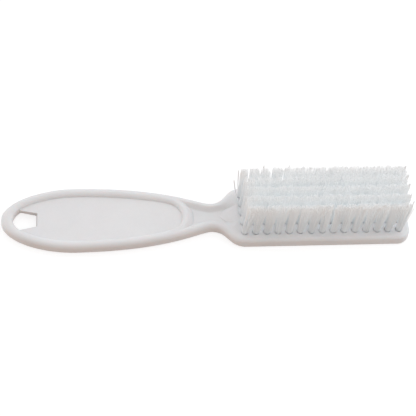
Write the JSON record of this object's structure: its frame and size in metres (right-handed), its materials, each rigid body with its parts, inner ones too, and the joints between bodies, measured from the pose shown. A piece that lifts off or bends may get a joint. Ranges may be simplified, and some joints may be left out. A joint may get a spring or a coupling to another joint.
{
  "type": "nail brush",
  "caption": "Long-handled nail brush: white moulded handle with a sunken panel and hanging hole, and a flat head with rows of stiff white nylon tufts.",
  "frame": {"origin": "on the surface that the brush lies on, under the middle of its overall length and width", "axes": "+X runs along the brush from the hanging hole to the end of the head, +Z is the way the bristles point, and the XZ plane is the plane of symmetry"},
  "size_m": [0.178, 0.0318, 0.024],
  "materials": {
    "body_plastic": "white polypropylene, smooth satin gloss straight from the mould",
    "bristle_nylon": "translucent white nylon filament, cut square at the tips",
    "anchor_brass": "plain drawn flat wire"
  },
  "bodies": {
    "root": {"body": "body_plastic", "tuft_column_01": "bristle_nylon", "tuft_column_02": "bristle_nylon", "tuft_column_03": "bristle_nylon", "tuft_column_04": "bristle_nylon", "tuft_column_05": "bristle_nylon", "tuft_column_06": "bristle_nylon", "tuft_column_07": "bristle_nylon", "tuft_column_08": "bristle_nylon", "tuft_column_09": "bristle_nylon", "tuft_column_10": "bristle_nylon", "tuft_column_11": "bristle_nylon", "tuft_column_12": "bristle_nylon", "tuft_column_13": "bristle_nylon", "tuft_column_14": "bristle_nylon", "tuft_column_15": "bristle_nylon", "anchor_wires_01": "anchor_brass", "anchor_wires_02": "anchor_brass", "anchor_wires_03": "anchor_brass", "anchor_wires_04": "anchor_brass", "anchor_wires_05": "anchor_brass", "anchor_wires_06": "anchor_brass", "anchor_wires_07": "anchor_brass", "anchor_wires_08": "anchor_brass", "anchor_wires_09": "anchor_brass", "anchor_wires_10": "anchor_brass", "anchor_wires_11": "anchor_brass", "anchor_wires_12": "anchor_brass", "anchor_wires_13": "anchor_brass", "anchor_wires_14": "anchor_brass", "anchor_wires_15": "anchor_brass"}
  },
  "joints": []
}
